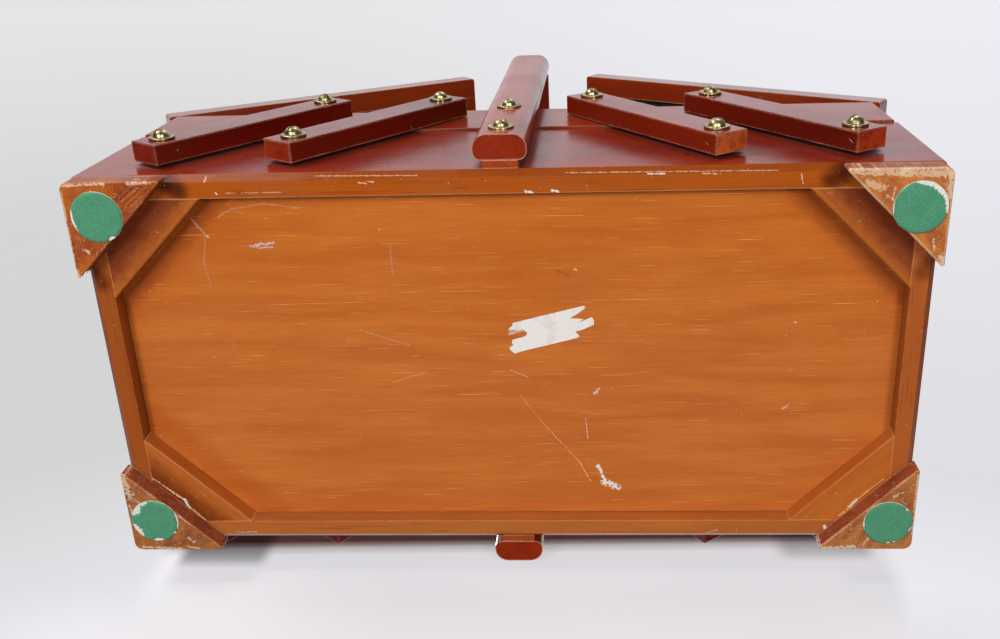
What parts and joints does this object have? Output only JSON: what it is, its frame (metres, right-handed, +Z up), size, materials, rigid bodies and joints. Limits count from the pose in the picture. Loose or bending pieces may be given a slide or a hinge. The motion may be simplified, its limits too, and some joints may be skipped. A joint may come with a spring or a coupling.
{
  "type": "cantilever sewing box",
  "caption": "Wooden sewing carrier: open base on corner feet, trays that swing out on parallel link arms, hinged lids and a fixed centre handle.",
  "frame": {"origin": "on the floor plane, under the middle of the box, at the undersides of the felt pads", "axes": "+X to the right along the long side, +Y from front to back, +Z up"},
  "size_m": [0.4152, 0.238, 0.2508],
  "materials": {
    "lacquered_wood": "glossy red-brown lacquer",
    "plywood": "satin lacquered plywood",
    "gusset_wood": "satin stained wood",
    "foot_wood": "worn stained wood",
    "green_felt": "soft felt",
    "handle_wood": "glossy red-brown lacquer",
    "brass": "aged polished brass",
    "arm_wood": "glossy red-brown lacquer",
    "tray_wood": "glossy red-brown lacquer",
    "inner_wood": "satin plywood",
    "lid_wood": "glossy red-brown lacquer",
    "dark_lining": "dark felt"
  },
  "bodies": {
    "base": {"base_front_wall": "lacquered_wood", "base_back_wall": "lacquered_wood", "base_left_wall": "lacquered_wood", "base_right_wall": "lacquered_wood", "base_bottom_panel": "plywood", "corner_gussets": "gusset_wood", "front_left_foot": "foot_wood", "front_right_foot": "foot_wood", "back_left_foot": "foot_wood", "back_right_foot": "foot_wood", "front_left_foot_pad": "green_felt", "front_right_foot_pad": "green_felt", "back_left_foot_pad": "green_felt", "back_right_foot_pad": "green_felt", "front_handle_post": "handle_wood", "back_handle_post": "handle_wood", "post_spacers": "handle_wood", "handle_crossbar": "handle_wood", "base_pivot_collars": "brass", "base_pivot_screws": "brass", "handle_screws": "brass", "base_washers": "brass"},
    "left_front_outer_arm": {"left_front_outer_arm": "arm_wood"},
    "left_front_inner_arm": {"left_front_inner_arm": "arm_wood"},
    "left_back_outer_arm": {"left_back_outer_arm": "arm_wood"},
    "left_back_inner_arm": {"left_back_inner_arm": "arm_wood"},
    "left_tray": {"left_tray_front_wall": "tray_wood", "left_tray_back_wall": "tray_wood", "left_tray_inner_wall": "tray_wood", "left_tray_outer_wall": "tray_wood", "left_tray_bottom_panel": "inner_wood", "left_tray_divider": "inner_wood", "left_tray_pivot_screws": "brass", "left_tray_washers": "brass", "left_tray_hinges": "brass", "left_tray_hinge_screws": "brass"},
    "left_lid": {"left_lid_panel": "lid_wood", "left_lid_rim": "lid_wood", "left_lid_lining": "dark_lining", "left_lid_hinges": "brass", "left_lid_hinge_screws": "brass"},
    "right_front_outer_arm": {"right_front_outer_arm": "arm_wood"},
    "right_front_inner_arm": {"right_front_inner_arm": "arm_wood"},
    "right_back_outer_arm": {"right_back_outer_arm": "arm_wood"},
    "right_back_inner_arm": {"right_back_inner_arm": "arm_wood"},
    "right_tray": {"right_tray_front_wall": "tray_wood", "right_tray_back_wall": "tray_wood", "right_tray_inner_wall": "tray_wood", "right_tray_outer_wall": "tray_wood", "right_tray_bottom_panel": "inner_wood", "right_tray_divider": "inner_wood", "right_tray_pivot_screws": "brass", "right_tray_washers": "brass", "right_tray_hinges": "brass", "right_tray_hinge_screws": "brass"},
    "right_lid": {"right_lid_panel": "lid_wood", "right_lid_rim": "lid_wood", "right_lid_lining": "dark_lining", "right_lid_hinges": "brass", "right_lid_hinge_screws": "brass"}
  },
  "joints": [
    {"name": "left_swing", "type": "hinge", "parent": "base", "child": "left_front_outer_arm", "pos_m": [-0.1639, -0.1057, 0.0363], "axis": [0, -1, 0], "range_deg": [0, 70]},
    {"name": "left_front_inner_arm_pivot", "type": "hinge", "parent": "base", "child": "left_front_inner_arm", "pos_m": [-0.1001, -0.1057, 0.0363], "axis": [0, -1, 0], "range_deg": [0, 70]},
    {"name": "left_back_outer_arm_pivot", "type": "hinge", "parent": "base", "child": "left_back_outer_arm", "pos_m": [-0.1639, 0.1057, 0.0363], "axis": [0, -1, 0], "range_deg": [0, 70]},
    {"name": "left_back_inner_arm_pivot", "type": "hinge", "parent": "base", "child": "left_back_inner_arm", "pos_m": [-0.1001, 0.1057, 0.0363], "axis": [0, -1, 0], "range_deg": [0, 70]},
    {"name": "left_tray_level", "type": "hinge", "parent": "left_front_outer_arm", "child": "left_tray", "pos_m": [-0.1051, -0.1057, 0.11904], "axis": [0, -1, 0], "range_deg": [-70, 0]},
    {"name": "left_lid_hinge", "type": "hinge", "parent": "left_tray", "child": "left_lid", "pos_m": [-0.1984, 0, 0.13875], "axis": [0, -1, 0], "range_deg": [-32.2, 72.8]},
    {"name": "right_swing", "type": "hinge", "parent": "base", "child": "right_front_outer_arm", "pos_m": [0.1639, -0.1057, 0.0363], "axis": [0, 1, 0], "range_deg": [0, 70]},
    {"name": "right_front_inner_arm_pivot", "type": "hinge", "parent": "base", "child": "right_front_inner_arm", "pos_m": [0.1001, -0.1057, 0.0363], "axis": [0, 1, 0], "range_deg": [0, 70]},
    {"name": "right_back_outer_arm_pivot", "type": "hinge", "parent": "base", "child": "right_back_outer_arm", "pos_m": [0.1639, 0.1057, 0.0363], "axis": [0, 1, 0], "range_deg": [0, 70]},
    {"name": "right_back_inner_arm_pivot", "type": "hinge", "parent": "base", "child": "right_back_inner_arm", "pos_m": [0.1001, 0.1057, 0.0363], "axis": [0, 1, 0], "range_deg": [0, 70]},
    {"name": "right_tray_level", "type": "hinge", "parent": "right_front_outer_arm", "child": "right_tray", "pos_m": [0.1051, -0.1057, 0.11904], "axis": [0, 1, 0], "range_deg": [-70, 0]},
    {"name": "right_lid_hinge", "type": "hinge", "parent": "right_tray", "child": "right_lid", "pos_m": [0.1984, 0, 0.13875], "axis": [0, 1, 0], "range_deg": [-32.2, 72.8]}
  ],
  "couplings": [
    {"joint": "left_front_inner_arm_pivot", "follows": "left_swing", "ratio": 1},
    {"joint": "left_back_outer_arm_pivot", "follows": "left_swing", "ratio": 1},
    {"joint": "left_back_inner_arm_pivot", "follows": "left_swing", "ratio": 1},
    {"joint": "left_tray_level", "follows": "left_swing", "ratio": -1},
    {"joint": "right_front_inner_arm_pivot", "follows": "right_swing", "ratio": 1},
    {"joint": "right_back_outer_arm_pivot", "follows": "right_swing", "ratio": 1},
    {"joint": "right_back_inner_arm_pivot", "follows": "right_swing", "ratio": 1},
    {"joint": "right_tray_level", "follows": "right_swing", "ratio": -1}
  ]
}
